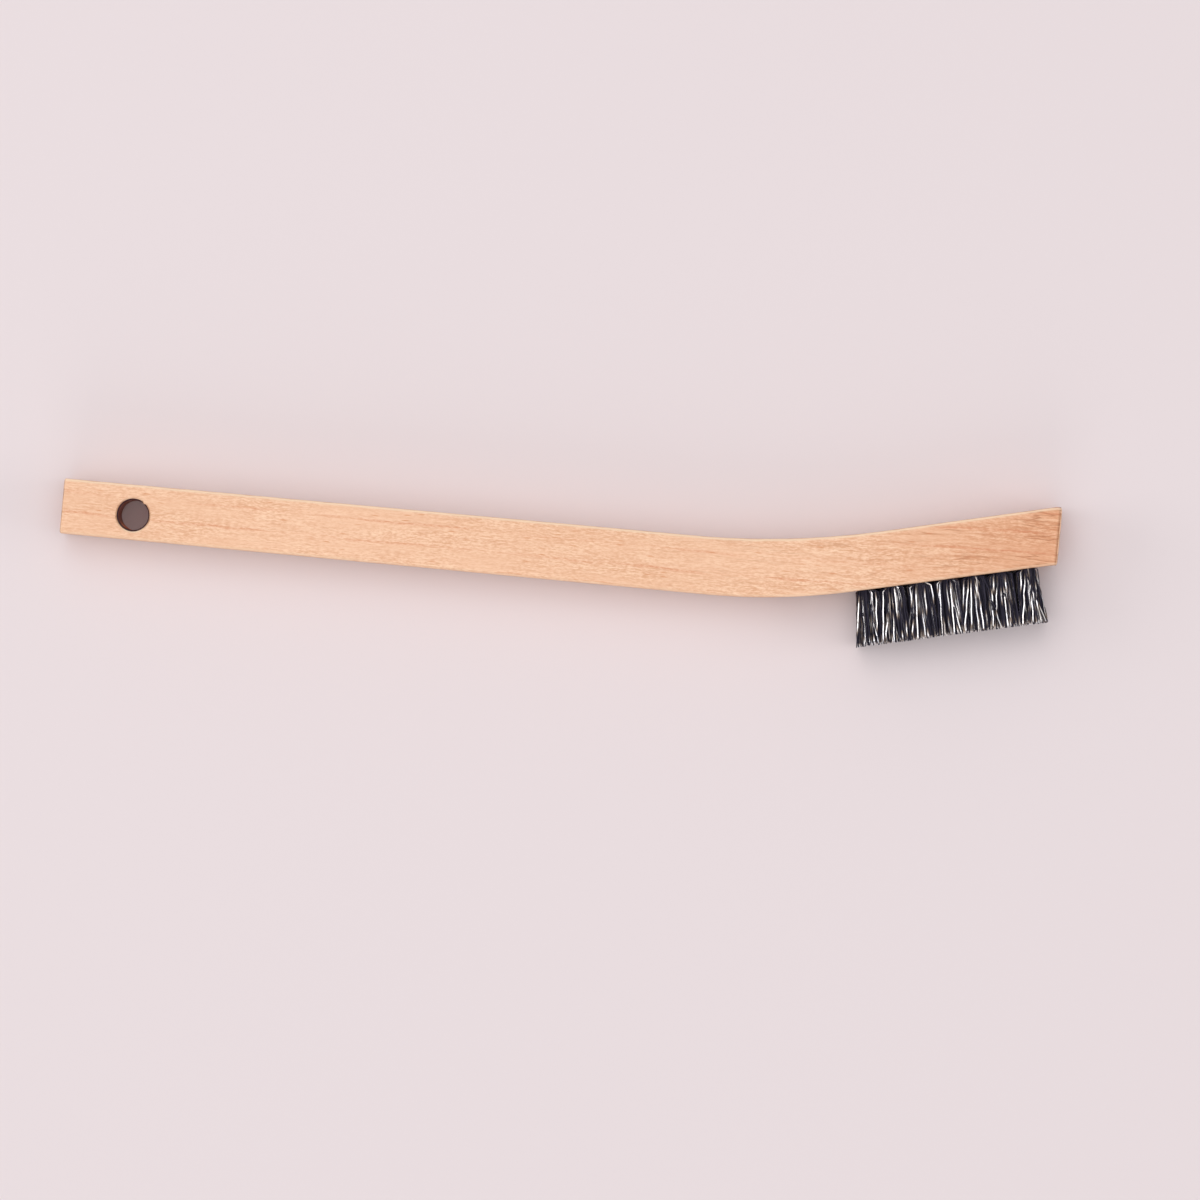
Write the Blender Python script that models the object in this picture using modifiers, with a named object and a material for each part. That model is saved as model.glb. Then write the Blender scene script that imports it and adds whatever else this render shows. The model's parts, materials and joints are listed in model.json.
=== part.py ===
"""Wire scratch brush.

A bent beech stick with a hang hole near its tail, and three rows of seven tufts of
crimped steel wire set in the belly of its head. Each tuft is bent double over a wire
staple, which is driven through the fold into the bottom of the tuft's drilled hole.

The brush lies on its side. X runs along the grip from the tail to the head, Y points
to the back of the stick, away from the wires, and Z is up, across the stick. Lengths
are in metres. The origin lies under the middle of the whole brush, on the surface
that it rests on.
"""
import math
import random

import bmesh
import bpy
from mathutils import Matrix, Vector
from mathutils.geometry import delaunay_2d_cdt, intersect_line_line

# Stick, seen from its side
GRIP_LENGTH = 0.1428             # tail end to the corner of the bend, along the belly
HEAD_ANGLE = math.radians(12.9)  # how far the head is bent up from the line of the grip
GRIP_TAPER = 0.0006              # how much taller the grip is at the bend than at its tail
HEAD_TAPER = 0.00036             # how much taller the head is at its end than at the bend
BELLY_BEND_RADIUS = 0.128
BACK_BEND_RADIUS = 0.165
EDGE_ROUND = 0.0007

# Hang hole, right through the sides of the grip
HANG_HOLE_DIAMETER = 0.0064
HANG_HOLE_TAIL_WALL = 0.01095    # wood between the hole and the tail end
HANG_HOLE_BELLY_WALL = 0.00175   # wood between the hole and the belly
HANG_HOLE_BACK_WALL = 0.00275    # wood between the hole and the back

# Tuft holes, drilled square into the belly of the head
ROWS_ALONG = 7
ROWS_ACROSS = 3
TUFT_HOLE_DIAMETER = 0.0032
TUFT_HOLE_DEPTH = 0.0050         # to the shoulder of the drill point
DRILL_POINT_ANGLE = math.radians(118)
WEB_ALONG = 0.00217              # wood between two holes of a row along the head
WEB_ACROSS = 0.0006              # wood between two holes across the head
SIDE_WALL = 0.00095              # wood between the outer holes and the side of the stick
END_WALL = 0.0043                # wood between the last holes and the head's end
BEND_MARGIN = 0.0013             # flat belly between the bend and the first holes
BACK_WALL = 0.00336              # sound wood between the staples' points and the back

# Staples
STAPLE_WIRE = 0.0005             # diameter
STAPLE_BITE = 0.0026             # how far its legs go into the wood under the hole
STAPLE_CORNER_RADIUS = 0.00035   # of the wire's centre line
FOLD_THICKNESS = 0.0010          # wires held between the staple's crown and the hole's bottom
SEAT_GAP = 0.0002                # clearance between pieces that are seated in each other

# Tufts
TRIM_LENGTH = 0.0111             # how far the wires stand out from the belly
TIP_UNEVENNESS = 0.0004          # how much shorter the shortest wires are
FLARE_TO_TAIL = 0.00174          # how far the tips overhang the first holes
FLARE_TO_END = 0.0011            # how far the tips overhang the last holes
TIP_INSET = 0.0002               # how far the outermost tips stay inside the sides of the stick
TIP_GAP = 0.0002                 # between neighbouring tufts at their tips
CRIMP_DEPTH = 0.00025            # sideways wave of the crimped wires
CRIMP_BENDS = ((0.3, 1), (0.65, -1), (1.0, 0))  # share of the length, and side that it waves to
STRAND_STRAY = 0.00004           # how far one strand strays from its place in the tuft
STRAND_RATIO = 0.21              # middle of a free strand to its corners, to the root's radius
CORE_POINTS = 5                  # points that part the strands inside the packed root
RIM_POINTS = 8                   # points around the packed root
CORE_RATIO = 0.5                 # radius of the core points to the radius of the root
FOLD_RATIO = 0.5                 # flat underside of the fold to the width of the root

# Roundness and cutting
ARC_STEPS = 10                   # straight steps in each arc of the stick's outline
EDGE_STEPS = 3                   # steps in the rounding of an edge
HANG_HOLE_SIDES = 32
TUFT_HOLE_SIDES = 16
PILOT_SIDES = 8
STAPLE_CORNER_STEPS = 2          # straight steps in each corner of a staple
CUT_OVERRUN = 0.001              # how far a cutter stands out of the wood
WELD_DISTANCE = 0.000001

# Colours (linear) with roughness and metallic value
BEECH = ((0.83, 0.50, 0.32), 0.6, 0.0)
TEMPERED_WIRE = ((0.09, 0.08, 0.09), 0.35, 1.0)
STAPLE_STEEL = ((0.45, 0.44, 0.43), 0.3, 1.0)

# Worked out from the sizes above
HOLE_RADIUS = TUFT_HOLE_DIAMETER / 2
PITCH_ALONG = TUFT_HOLE_DIAMETER + WEB_ALONG
PITCH_ACROSS = TUFT_HOLE_DIAMETER + WEB_ACROSS
STICK_WIDTH = 2 * SIDE_WALL + TUFT_HOLE_DIAMETER + (ROWS_ACROSS - 1) * PITCH_ACROSS
BELLY_TANGENT = BELLY_BEND_RADIUS * math.tan(HEAD_ANGLE / 2)
FIELD_START = BELLY_TANGENT + BEND_MARGIN
FIELD_LENGTH = TUFT_HOLE_DIAMETER + (ROWS_ALONG - 1) * PITCH_ALONG
HEAD_LENGTH = FIELD_START + FIELD_LENGTH + END_WALL
TAIL_HEIGHT = HANG_HOLE_BELLY_WALL + HANG_HOLE_DIAMETER + HANG_HOLE_BACK_WALL
NECK_HEIGHT = TAIL_HEIGHT + GRIP_TAPER
HEAD_HEIGHT = TUFT_HOLE_DEPTH + STAPLE_BITE + BACK_WALL
HEAD_END_HEIGHT = HEAD_HEIGHT + HEAD_TAPER
ROOT_RADIUS = HOLE_RADIUS - SEAT_GAP
STAPLE_CLEARANCE = STAPLE_WIRE / 2 + SEAT_GAP
LEG_OFFSET = HOLE_RADIUS - STAPLE_CLEARANCE - SEAT_GAP / 4
CROWN_HEIGHT = -TUFT_HOLE_DEPTH + SEAT_GAP + FOLD_THICKNESS + STAPLE_CLEARANCE
LEG_TIP = -TUFT_HOLE_DEPTH - STAPLE_BITE
STRAND_RADIUS = STRAND_RATIO * ROOT_RADIUS
TIP_PITCH_ALONG = (FIELD_LENGTH + FLARE_TO_TAIL + FLARE_TO_END + TIP_GAP) / ROWS_ALONG
TIP_PITCH_ACROSS = (STICK_WIDTH - 2 * TIP_INSET + TIP_GAP) / ROWS_ACROSS


def clear_scene():
    for thing in list(bpy.data.objects):
        bpy.data.objects.remove(thing, do_unlink=True)


def new_collection(name):
    collection = bpy.data.collections.new(name)
    bpy.context.scene.collection.children.link(collection)
    return collection


def new_material(name, finish):
    colour, roughness, metallic = finish
    material = bpy.data.materials.new(name)
    material.use_nodes = True
    surface = material.node_tree.nodes["Principled BSDF"]
    surface.inputs["Base Color"].default_value = (*colour, 1.0)
    surface.inputs["Roughness"].default_value = roughness
    surface.inputs["Metallic"].default_value = metallic
    material.diffuse_color = (*colour, 1.0)
    return material


def new_object(name, data, collection, parent, place=Matrix()):
    thing = bpy.data.objects.new(name, data)
    collection.objects.link(thing)
    thing.parent = parent
    thing.matrix_basis = place
    return thing


def new_mesh(name, shape):
    """A mesh of this edit mesh, which is freed."""
    bmesh.ops.recalc_face_normals(shape, faces=shape.faces)
    mesh = bpy.data.meshes.new(name)
    shape.to_mesh(mesh)
    shape.free()
    return mesh


def mesh_of_curve(curve):
    """The surface of a curve as a mesh, its caps welded and its flat caps in one face."""
    stand_in = bpy.data.objects.new(curve.name, curve)
    bpy.context.scene.collection.objects.link(stand_in)
    graph = bpy.context.evaluated_depsgraph_get()
    mesh = bpy.data.meshes.new_from_object(stand_in.evaluated_get(graph))
    bpy.data.objects.remove(stand_in, do_unlink=True)
    shape = bmesh.new()
    shape.from_mesh(mesh)
    bmesh.ops.remove_doubles(shape, verts=shape.verts, dist=WELD_DISTANCE)
    bmesh.ops.dissolve_limit(shape, angle_limit=math.radians(0.1), verts=shape.verts, edges=shape.edges)
    bpy.data.meshes.remove(mesh)
    return new_mesh(curve.name, shape)


def flat_mesh(name, outline, thickness):
    """A flat piece with this outline in the XY plane, half its thickness on each side of it."""
    curve = bpy.data.curves.new(name, 'CURVE')
    curve.dimensions = '2D'
    curve.fill_mode = 'BOTH'
    curve.extrude = thickness / 2
    spline = curve.splines.new('POLY')
    spline.points.add(len(outline) - 1)
    for knot, point in zip(spline.points, outline):
        knot.co = (*point, 0, 1)
    spline.use_cyclic_u = True
    return mesh_of_curve(curve)


def upright(turn):
    """Stands the XY plane up on its X axis and then turns it about Z."""
    return Matrix.Rotation(turn, 4, 'Z') @ Matrix.Rotation(math.pi / 2, 4, 'X')


def add_cutter(name, mesh, collection, parent, place=Matrix()):
    cutter = new_object(name, mesh, collection, parent, place)
    cutter.hide_render = True
    cutter.display_type = 'WIRE'
    return cutter


# Stick


def meeting_point(line_a, line_b):
    """Where two lines in the plane of the outline meet, each given by two points."""
    points = [point.to_3d() for point in (*line_a, *line_b)]
    return intersect_line_line(*points)[0].to_2d()


def rounded_corner(before, corner, after, radius):
    """Points of the arc of this radius that blends a corner of the outline."""
    to_before = (before - corner).normalized()
    to_after = (after - corner).normalized()
    half_angle = to_before.angle(to_after) / 2
    centre = corner + (to_before + to_after).normalized() * radius / math.sin(half_angle)
    start = corner + to_before * radius / math.tan(half_angle) - centre
    end = corner + to_after * radius / math.tan(half_angle) - centre
    first = math.atan2(start.y, start.x)
    turn = math.atan2(start.cross(end), start.dot(end))
    angles = [first + turn * step / ARC_STEPS for step in range(ARC_STEPS + 1)]
    return [centre + radius * Vector((math.cos(angle), math.sin(angle))) for angle in angles]


def stick_outline():
    """The stick seen from its side: the belly of the grip on the X axis, the tail at X = 0."""
    along_head = Vector((math.cos(HEAD_ANGLE), math.sin(HEAD_ANGLE)))
    up_head = Vector((-math.sin(HEAD_ANGLE), math.cos(HEAD_ANGLE)))
    tail_belly = Vector((0, 0))
    tail_back = Vector((0, TAIL_HEIGHT))
    bend_belly = Vector((GRIP_LENGTH, 0))
    end_belly = bend_belly + along_head * HEAD_LENGTH
    grip_back = (tail_back, Vector((GRIP_LENGTH, NECK_HEIGHT)))
    head_back = (bend_belly + up_head * HEAD_HEIGHT, end_belly + up_head * HEAD_END_HEIGHT)
    end_cut = (end_belly, end_belly + Vector((0, HEAD_HEIGHT)))
    bend_back = meeting_point(grip_back, head_back)
    end_back = meeting_point(end_cut, head_back)
    belly_bend = rounded_corner(tail_belly, bend_belly, end_belly, BELLY_BEND_RADIUS)
    back_bend = rounded_corner(end_back, bend_back, tail_back, BACK_BEND_RADIUS)
    return [tail_belly, *belly_bend, end_belly, end_back, *back_bend, tail_back]


def hang_hole_mesh():
    radius = HANG_HOLE_DIAMETER / 2
    centre = Vector((HANG_HOLE_TAIL_WALL + radius, HANG_HOLE_BELLY_WALL + radius, STICK_WIDTH / 2))
    shape = bmesh.new()
    bmesh.ops.create_cone(
        shape, cap_ends=True, segments=HANG_HOLE_SIDES, radius1=radius, radius2=radius,
        depth=STICK_WIDTH + 2 * CUT_OVERRUN, matrix=Matrix.Translation(centre))
    return new_mesh("hang_hole", shape)


def drill_mesh():
    """A drill in a tuft hole: the belly is at Z = 0 and the drill points down."""
    depth = TUFT_HOLE_DEPTH + CUT_OVERRUN
    centre = Vector((0, 0, CUT_OVERRUN - depth / 2))
    shape = bmesh.new()
    bmesh.ops.create_cone(
        shape, cap_ends=True, segments=TUFT_HOLE_SIDES, radius1=HOLE_RADIUS, radius2=HOLE_RADIUS,
        depth=depth, matrix=Matrix.Translation(centre))
    shape.normal_update()
    bottom = [face for face in shape.faces if face.normal.z < -0.9]
    bmesh.ops.poke(shape, faces=bottom, offset=HOLE_RADIUS / math.tan(DRILL_POINT_ANGLE / 2))
    return new_mesh("drill", shape)


def make_handle(collection, cutters, root, material):
    """The stick, with every cutter taken out of it."""
    mesh = flat_mesh("handle", stick_outline(), STICK_WIDTH)
    mesh.transform(Matrix.Translation((0, 0, STICK_WIDTH / 2)))
    mesh.materials.append(material)
    mesh.shade_smooth()
    mesh.set_sharp_from_angle(angle=math.radians(30))
    handle = new_object("handle", mesh, collection, root)
    ease = handle.modifiers.new("eased edges", 'BEVEL')
    ease.width = EDGE_ROUND
    ease.segments = EDGE_STEPS
    ease.limit_method = 'ANGLE'
    ease.harden_normals = True
    bore = handle.modifiers.new("holes", 'BOOLEAN')
    bore.operation = 'DIFFERENCE'
    bore.solver = 'EXACT'
    bore.operand_type = 'COLLECTION'
    bore.collection = cutters
    return handle


# Staples


def staple_curve():
    """A wire bent to a U over the middle of a tuft hole, its legs down into the wood."""
    corner_offset = LEG_OFFSET - STAPLE_CORNER_RADIUS
    corner_height = CROWN_HEIGHT - STAPLE_CORNER_RADIUS
    half = [(LEG_OFFSET, LEG_TIP)]
    for step in range(STAPLE_CORNER_STEPS + 1):
        angle = math.pi / 2 * step / STAPLE_CORNER_STEPS
        half.append((corner_offset + STAPLE_CORNER_RADIUS * math.cos(angle),
                     corner_height + STAPLE_CORNER_RADIUS * math.sin(angle)))
    points = half + [(-offset, height) for offset, height in reversed(half)]
    curve = bpy.data.curves.new("staple", 'CURVE')
    curve.dimensions = '3D'
    curve.bevel_depth = STAPLE_WIRE / 2
    curve.bevel_resolution = 1
    curve.use_fill_caps = True
    spline = curve.splines.new('POLY')
    spline.points.add(len(points) - 1)
    for knot, (offset, height) in zip(spline.points, points):
        knot.co = (0, offset, height, 1)
    return curve


def staple_mesh(material):
    mesh = mesh_of_curve(staple_curve())
    mesh.materials.append(material)
    mesh.shade_smooth()
    mesh.set_sharp_from_angle(angle=math.radians(65))
    return mesh


def pilot_mesh():
    """The two holes that a staple's legs go down, from inside the tuft hole."""
    bottom = LEG_TIP - SEAT_GAP
    shape = bmesh.new()
    for side in (-1, 1):
        centre = Vector((0, side * LEG_OFFSET, (CROWN_HEIGHT + bottom) / 2))
        bmesh.ops.create_cone(
            shape, cap_ends=True, segments=PILOT_SIDES, radius1=STAPLE_CLEARANCE,
            radius2=STAPLE_CLEARANCE, depth=CROWN_HEIGHT - bottom, matrix=Matrix.Translation(centre))
    return new_mesh("pilot", shape)


# Tufts


def packed_root():
    """The packed root seen end on: its points, and the triangles between them, one a strand."""
    points = [Vector((0, 0))]
    for count, radius in ((CORE_POINTS, CORE_RATIO * ROOT_RADIUS), (RIM_POINTS, ROOT_RADIUS)):
        for step in range(count):
            angle = 2 * math.pi * step / count
            points.append(Vector((radius * math.cos(angle), radius * math.sin(angle))))
    corners, _, triangles, *_ = delaunay_2d_cdt(points, [], [], 0, WELD_DISTANCE)
    return corners, triangles


def add_root(shape):
    """Carry the packed root down into its hole, rounded where the wires turn back."""
    bottom = -TUFT_HOLE_DEPTH + SEAT_GAP
    fold_start = bottom + (1 - FOLD_RATIO) * ROOT_RADIUS
    rim = [edge for edge in shape.edges if edge.is_boundary]
    for height, squeeze in ((fold_start, 1), (bottom, FOLD_RATIO)):
        ring = bmesh.ops.extrude_edge_only(shape, edges=rim)["geom"]
        rim = [part for part in ring if isinstance(part, bmesh.types.BMEdge)]
        for corner in {corner for edge in rim for corner in edge.verts}:
            corner.co.x *= squeeze
            corner.co.z = height
    bmesh.ops.contextual_create(shape, geom=rim)


def tip_spread(cells):
    """How many times further apart the strands are at the tips, along and across the head."""
    middles = [cell.calc_center_median() for cell in cells]
    spread = []
    for axis, tip_pitch in enumerate((TIP_PITCH_ALONG, TIP_PITCH_ACROSS)):
        room = (tip_pitch - TIP_GAP) / 2 - STRAND_RADIUS - STRAND_STRAY
        spread.append(room / max(abs(middle[axis]) for middle in middles))
    return Vector(spread)


def add_strand(shape, cell, tip, crimp, chance):
    """Draw a triangle of the packed root out to a tip as a crimped strand of three sides."""
    root = cell.calc_center_median()
    for share, side in CRIMP_BENDS:
        middle = cell.calc_center_median()
        cell = bmesh.ops.extrude_discrete_faces(shape, faces=[cell])["faces"][0]
        stray = Vector((chance.uniform(-1, 1), chance.uniform(-1, 1), 0)) * STRAND_STRAY
        bend = root.lerp(tip, share) + Vector((crimp * side, 0, 0))
        for corner in cell.verts:
            outwards = (corner.co - middle).normalized()
            corner.co = bend + stray + outwards * STRAND_RADIUS


def window_mesh():
    """The room that the staple takes in a root: under its crown only the fold is left."""
    top = CROWN_HEIGHT + STAPLE_CLEARANCE
    under_crown = CROWN_HEIGHT - STAPLE_CLEARANCE
    bottom = -TUFT_HOLE_DEPTH - CUT_OVERRUN
    outer = ROOT_RADIUS + CUT_OVERRUN
    inner = LEG_OFFSET - STAPLE_CLEARANCE
    outline = [(outer, bottom), (outer, top), (-outer, top), (-outer, bottom),
               (-inner, bottom), (-inner, under_crown), (inner, under_crown), (inner, bottom)]
    mesh = flat_mesh("staple_window", outline, 2 * STAPLE_CLEARANCE)
    mesh.transform(upright(math.pi / 2))
    return mesh


def tuft_mesh(name, lean, chance, material):
    """A tuft whose tips lean this far from over its root, along and across the head."""
    corners, triangles = packed_root()
    shape = bmesh.new()
    points = [shape.verts.new((*corner, 0)) for corner in corners]
    cells = [shape.faces.new([points[index] for index in triangle]) for triangle in triangles]
    add_root(shape)
    spread = tip_spread(cells)
    crimp = CRIMP_DEPTH * chance.uniform(0.6, 1.0) * chance.choice((-1, 1))
    for cell in cells:
        length = TRIM_LENGTH - TIP_UNEVENNESS * chance.random()
        tip = (cell.calc_center_median().xy * spread + lean).to_3d() + Vector((0, 0, length))
        add_strand(shape, cell, tip, crimp, chance)
    mesh = new_mesh(name, shape)
    mesh.materials.append(material)
    return mesh


def tuft_places(along, across):
    """Where a tuft stands on the belly of the head, and where the middle of its tips is."""
    root = Vector((
        FIELD_START + HOLE_RADIUS + along * PITCH_ALONG,
        SIDE_WALL + HOLE_RADIUS + across * PITCH_ACROSS))
    tips = Vector((
        FIELD_START - FLARE_TO_TAIL - TIP_GAP / 2 + (along + 0.5) * TIP_PITCH_ALONG,
        TIP_INSET - TIP_GAP / 2 + (across + 0.5) * TIP_PITCH_ACROSS))
    return root, tips


# The whole brush


def make_tufts(collection, handle_cutters, tuft_cutters, head_face, wire, steel):
    """Each tuft with its staple, and the cutters that make room for them."""
    staple = staple_mesh(steel)
    pilot = pilot_mesh()
    drill = drill_mesh()
    window = window_mesh()
    pieces = []
    for along in range(ROWS_ALONG):
        for across in range(ROWS_ACROSS):
            label = f"{along + 1}_{across + 1}"
            root, tips = tuft_places(along, across)
            place = Matrix.Translation(root.to_3d())
            chance = random.Random(100 * along + across)
            mesh = tuft_mesh("tuft_" + label, tips - root, chance, wire)
            tuft = new_object("tuft_" + label, mesh, collection, head_face, place)
            add_cutter("drill_" + label, drill, handle_cutters, head_face, place)
            add_cutter("pilot_" + label, pilot, handle_cutters, head_face, place)
            room = tuft.modifiers.new("staple window", 'BOOLEAN')
            room.operation = 'DIFFERENCE'
            room.solver = 'EXACT'
            room.object = add_cutter("window_" + label, window, tuft_cutters, head_face, place)
            pieces.append(tuft)
            pieces.append(new_object("staple_" + label, staple, collection, head_face, place))
    return pieces


def centre_on_origin(root, pieces):
    """Move the brush so that the middle of its underside is at the origin."""
    bpy.context.view_layer.update()
    graph = bpy.context.evaluated_depsgraph_get()
    points = []
    for piece in pieces:
        evaluated = piece.evaluated_get(graph)
        points += [evaluated.matrix_world @ corner.co for corner in evaluated.data.vertices]
    low = Vector(min(point[axis] for point in points) for axis in range(3))
    high = Vector(max(point[axis] for point in points) for axis in range(3))
    middle = (low + high) / 2
    root.location = (-middle.x, -middle.y, -low.z)
    bpy.context.view_layer.update()


def make_brush():
    clear_scene()
    collection = new_collection("Wire scratch brush")
    handle_cutters = new_collection("Handle cutters")
    tuft_cutters = new_collection("Tuft cutters")
    root = new_object("brush_root", None, collection, None)
    face_place = Matrix.Translation((GRIP_LENGTH, 0, 0)) @ upright(HEAD_ANGLE)
    head_face = new_object("head_face", None, collection, root, face_place)
    add_cutter("hang_hole", hang_hole_mesh(), handle_cutters, root)
    beech = new_material("beech", BEECH)
    wire = new_material("tempered wire", TEMPERED_WIRE)
    steel = new_material("staple steel", STAPLE_STEEL)
    pieces = make_tufts(collection, handle_cutters, tuft_cutters, head_face, wire, steel)
    pieces.append(make_handle(collection, handle_cutters, root, beech))
    centre_on_origin(root, pieces)


make_brush()
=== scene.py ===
"""Wire scratch brush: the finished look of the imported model, on a plain pale floor.

The sections follow the brush as it is made: the beech stick, the tufts of crimped wire,
the staples that hold them, and then the floor, the lamps and the camera.
"""
import json
import math
import random

import bmesh
import bpy
from mathutils import Matrix, Vector, noise
from mathutils.geometry import intersect_line_line

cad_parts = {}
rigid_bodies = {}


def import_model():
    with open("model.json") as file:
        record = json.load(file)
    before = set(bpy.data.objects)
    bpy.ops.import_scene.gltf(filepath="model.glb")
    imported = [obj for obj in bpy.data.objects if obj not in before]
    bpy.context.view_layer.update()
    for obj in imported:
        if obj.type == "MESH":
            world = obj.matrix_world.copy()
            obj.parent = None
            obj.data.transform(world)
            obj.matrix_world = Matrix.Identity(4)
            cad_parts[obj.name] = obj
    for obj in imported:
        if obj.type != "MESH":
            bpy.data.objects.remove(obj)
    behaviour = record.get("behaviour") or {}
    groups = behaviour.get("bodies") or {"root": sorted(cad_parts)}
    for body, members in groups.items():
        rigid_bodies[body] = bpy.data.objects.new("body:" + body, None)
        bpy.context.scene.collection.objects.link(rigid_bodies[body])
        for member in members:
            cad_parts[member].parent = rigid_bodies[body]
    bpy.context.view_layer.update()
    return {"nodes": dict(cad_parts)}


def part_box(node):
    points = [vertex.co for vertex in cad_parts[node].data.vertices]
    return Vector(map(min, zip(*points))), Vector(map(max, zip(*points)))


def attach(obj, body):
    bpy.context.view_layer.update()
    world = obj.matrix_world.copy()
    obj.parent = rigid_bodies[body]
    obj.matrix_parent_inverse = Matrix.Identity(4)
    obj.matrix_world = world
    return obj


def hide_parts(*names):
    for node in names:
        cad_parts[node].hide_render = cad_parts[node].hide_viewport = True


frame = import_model()


# Stick -----------------------------------------------------------------------------
# One length of beech, sawn to a gentle bend, planed on its four sides and tumbled until
# its edges are eased. A hole to hang it by is drilled through the grip, and the tuft
# holes are drilled square into the belly of the head, with a twist drill's pointed end.
GRIP_LENGTH = 0.1428
HEAD_ANGLE = math.radians(12.9)
HEAD_LENGTH = 0.05549
TAIL_HEIGHT = 0.0109
NECK_HEIGHT = 0.0115
HEAD_HEIGHT = 0.01096
HEAD_END_HEIGHT = 0.01132
BELLY_BEND_RADIUS = 0.128
BACK_BEND_RADIUS = 0.165
LENGTHWISE_PARTS = 180
CROSSWISE_PARTS = 8

SAWN_EDGE = math.radians(50)     # edges that turn by more than this are rounded
EDGE_ROUND = 0.0007
EDGE_STEPS = 5
END_DEPTH = EDGE_ROUND * 1.01    # how far in from the sawn ends their rounding reaches
END_SHARPNESS = 0.4              # how much of that depth is left
EDGE_WEAR = 0.00012              # how much deeper the tumbling went in some places
WEAR_PATCHES = 260               # to a metre
KNOCKED_CORNER = 0.0016          # how far the dent in the head's back corner reaches
KNOCKED_DEPTH = 0.0004
FACE_WAVE = 0.00003              # how far the planed faces are from flat
FACE_WAVES = 60                  # to a metre
CREASE = math.radians(35)        # edges that turn by more than this are left crisp

HANG_HOLE_CENTRE = (0.01415, 0.00495)
HANG_HOLE_RADIUS = 0.00298
HANG_HOLE_LIP = 0.00028          # how much wider the drill rubbed the hole at both sides
HANG_HOLE_LIP_DEPTH = 0.0010
HANG_HOLE_CHAMFER = 0.00028
HANG_HOLE_STEPS = 72
SLIVER_DIRECTION = math.radians(52)
SLIVER_WIDTH = math.radians(12)
SLIVER_DEPTH = 0.0005
SLIVER_REACH = 0.08              # how far it stands in, as a share of the radius

TUFT_HOLE_RADIUS = 0.0016
TUFT_HOLE_DEPTH = 0.0050
TUFT_HOLE_STEPS = 28
DRILL_POINT_DEPTH = 0.00096
PILOT_RADIUS = 0.00028
PILOT_DEPTH = 0.0079
PILOT_OFFSET = 0.0011
PILOT_STEPS = 10
CUT_OVERRUN = 0.001              # how far outside the wood each cut starts
ROWS_ALONG = 7
ROWS_ACROSS = 3

GRAIN_TURN = 0.0018              # how far the grain has followed the bend at the head
GRAIN_WANDER = 0.0007
TREE_MIDDLE = (-0.045, -0.008)   # Y and Z of the line that the growth rings run round
RING_WIDTH = 0.0037
# The rings are moved so that a growth line runs just inside the belly's edge, where it also
# paints the shade on that eased edge.
RING_START = 0.205               # by what part of a year the rings are moved
RAY_SLANT = 0.35
WARM_BEECH = (0.81, 0.475, 0.30)
PALE_BEECH = (0.89, 0.55, 0.365)
DARK_FIBRE = (0.68, 0.34, 0.185)
PALE_FIBRE = (0.96, 0.67, 0.47)
HAIRLINE = (0.66, 0.33, 0.19)
VEIN = (0.52, 0.23, 0.11)
GROWTH_LINE = (0.70, 0.31, 0.17)
SPOT = (0.66, 0.27, 0.12)
# painted highlight on the eased edges
PAINTED_EDGE_HIGHLIGHT = (0.98, 0.74, 0.52)
LATE_WOOD = (0.40, 0.19, 0.10)
RAY = (0.74, 0.50, 0.33)
OPEN_PORE = (0.27, 0.12, 0.065)
# painted shade: the light's fall-off towards the head's end
HEAD_SHADE_TINT = (0.89, 0.75, 0.67)
END_RIM_TINT = (0.60, 0.51, 0.43)
END_RIM_REACH = 0.0008              # how far the darker rim reaches in from the head's end
END_FACE_UNTINT = (1.67, 1.96, 2.33)   # takes the darker rim's tint off the sawn end again
SAWN_TINT = (0.78, 0.64, 0.54)

HOLE_WOOD = (0.96, 0.36, 0.20)
# painted shade on the hole walls, on one side and round the upper lip
HOLE_PAINTED_SHADE = (0.075, 0.030, 0.040)
TUFT_HOLE_WOOD = (0.34, 0.17, 0.115)
TUFT_HOLE_PAINTED_SHADE = (0.30, 0.14, 0.095)
SHADE_SLANT = 0.6                # how much the edge of the painted shade leans to the back
FULL_SHADE_REACH = 0.0020            # how far from the middle the painted shade is full on that side
NO_SHADE_REACH = 0.0006
SIDE_SHADE_STRENGTH = 0.72
LIP_SHADE_START = 0.0016        # how deep under the upper side the painted shade round the lip starts
LIP_SHADE_FULL = 0.0010

stick_low, stick_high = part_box("handle")
stick_width = stick_high.z - stick_low.z
head_corner = stick_low + Vector((GRIP_LENGTH, 0, 0))
hang_centre = stick_low + Vector((*HANG_HOLE_CENTRE, 0))
head_face = (
    Matrix.Translation(head_corner) @ Matrix.Rotation(HEAD_ANGLE, 4, 'Z')
    @ Matrix.Rotation(math.pi / 2, 4, 'X'))


def new_piece(name, shape, material):
    """A finished piece from an edit mesh that stands where the piece is."""
    mesh = bpy.data.meshes.new(name)
    shape.to_mesh(mesh)
    shape.free()
    mesh.materials.append(material)
    piece = bpy.data.objects.new(name, mesh)
    bpy.context.scene.collection.objects.link(piece)
    return piece


def new_finish(name):
    """A new material, its node tree and its surface shader."""
    material = bpy.data.materials.new(name)
    material.use_nodes = True
    tree = material.node_tree
    return material, tree, tree.nodes["Principled BSDF"]


def set_inputs(tree, made, inputs):
    """Give a shader its inputs, each a plain value or what another shader puts out."""
    for socket, value in inputs.items():
        if isinstance(value, bpy.types.NodeSocket):
            tree.links.new(value, made.inputs[socket])
        else:
            made.inputs[socket].default_value = value


def shader(tree, kind, inputs=(), **settings):
    """A new shader node, with its settings made and its inputs given."""
    made = tree.nodes.new("ShaderNode" + kind)
    for name, value in settings.items():
        setattr(made, name, value)
    set_inputs(tree, made, dict(inputs))
    return made


def worked_out(tree, operation, first, second=0):
    """A number worked out from one or two others."""
    return shader(tree, "Math", {0: first, 1: second}, operation=operation).outputs[0]


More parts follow.
